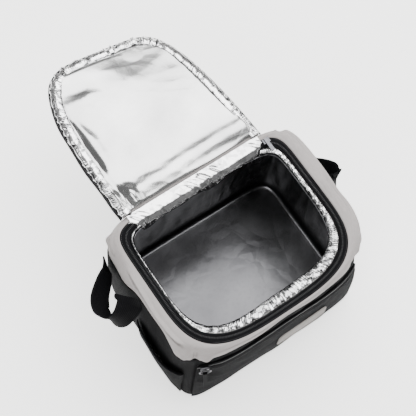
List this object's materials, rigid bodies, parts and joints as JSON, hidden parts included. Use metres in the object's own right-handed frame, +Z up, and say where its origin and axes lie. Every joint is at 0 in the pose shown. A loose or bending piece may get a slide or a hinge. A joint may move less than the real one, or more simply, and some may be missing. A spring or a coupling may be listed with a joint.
{
  "type": "lunch tote bag",
  "caption": "Soft insulated lunch tote that stands open, with a foil-lined tub, a lid laid back on its hinge, webbing handles and outer pockets.",
  "frame": {"origin": "on the floor, under the middle of the bag's base", "axes": "+Z up, +X to the bag's right as its wearer-facing front is seen, -Y to its front, so the open lid lies back along +Y"},
  "size_m": [0.3768, 0.4478, 0.2168],
  "materials": {
    "black_cloth": "matt black coated polyester weave",
    "grey_cloth": "warm light grey brushed polyester",
    "zip_cloth": "black zip tape with coil teeth",
    "foil": "crinkled aluminised film",
    "webbing": "black polypropylene webbing",
    "dark_metal": "black nickel",
    "woven_patch": "plain grey woven patch"
  },
  "bodies": {
    "root": {"body_shell": "black_cloth", "yoke": "grey_cloth", "liner": "foil", "mouth_zip_tape": "zip_cloth", "mouth_binding": "foil", "hinge_foil": "foil", "lid_cover": "grey_cloth", "lid_foil": "foil", "lid_binding": "foil", "lid_zip_tape": "zip_cloth", "zip_slider": "dark_metal", "zip_pull": "dark_metal", "handle_left": "webbing", "handle_right": "webbing", "side_pocket": "black_cloth", "front_pocket": "black_cloth", "pocket_zip": "zip_cloth", "pocket_slider": "dark_metal", "pull_ring": "dark_metal", "pull_strap": "zip_cloth", "patch": "woven_patch"}
  },
  "joints": []
}
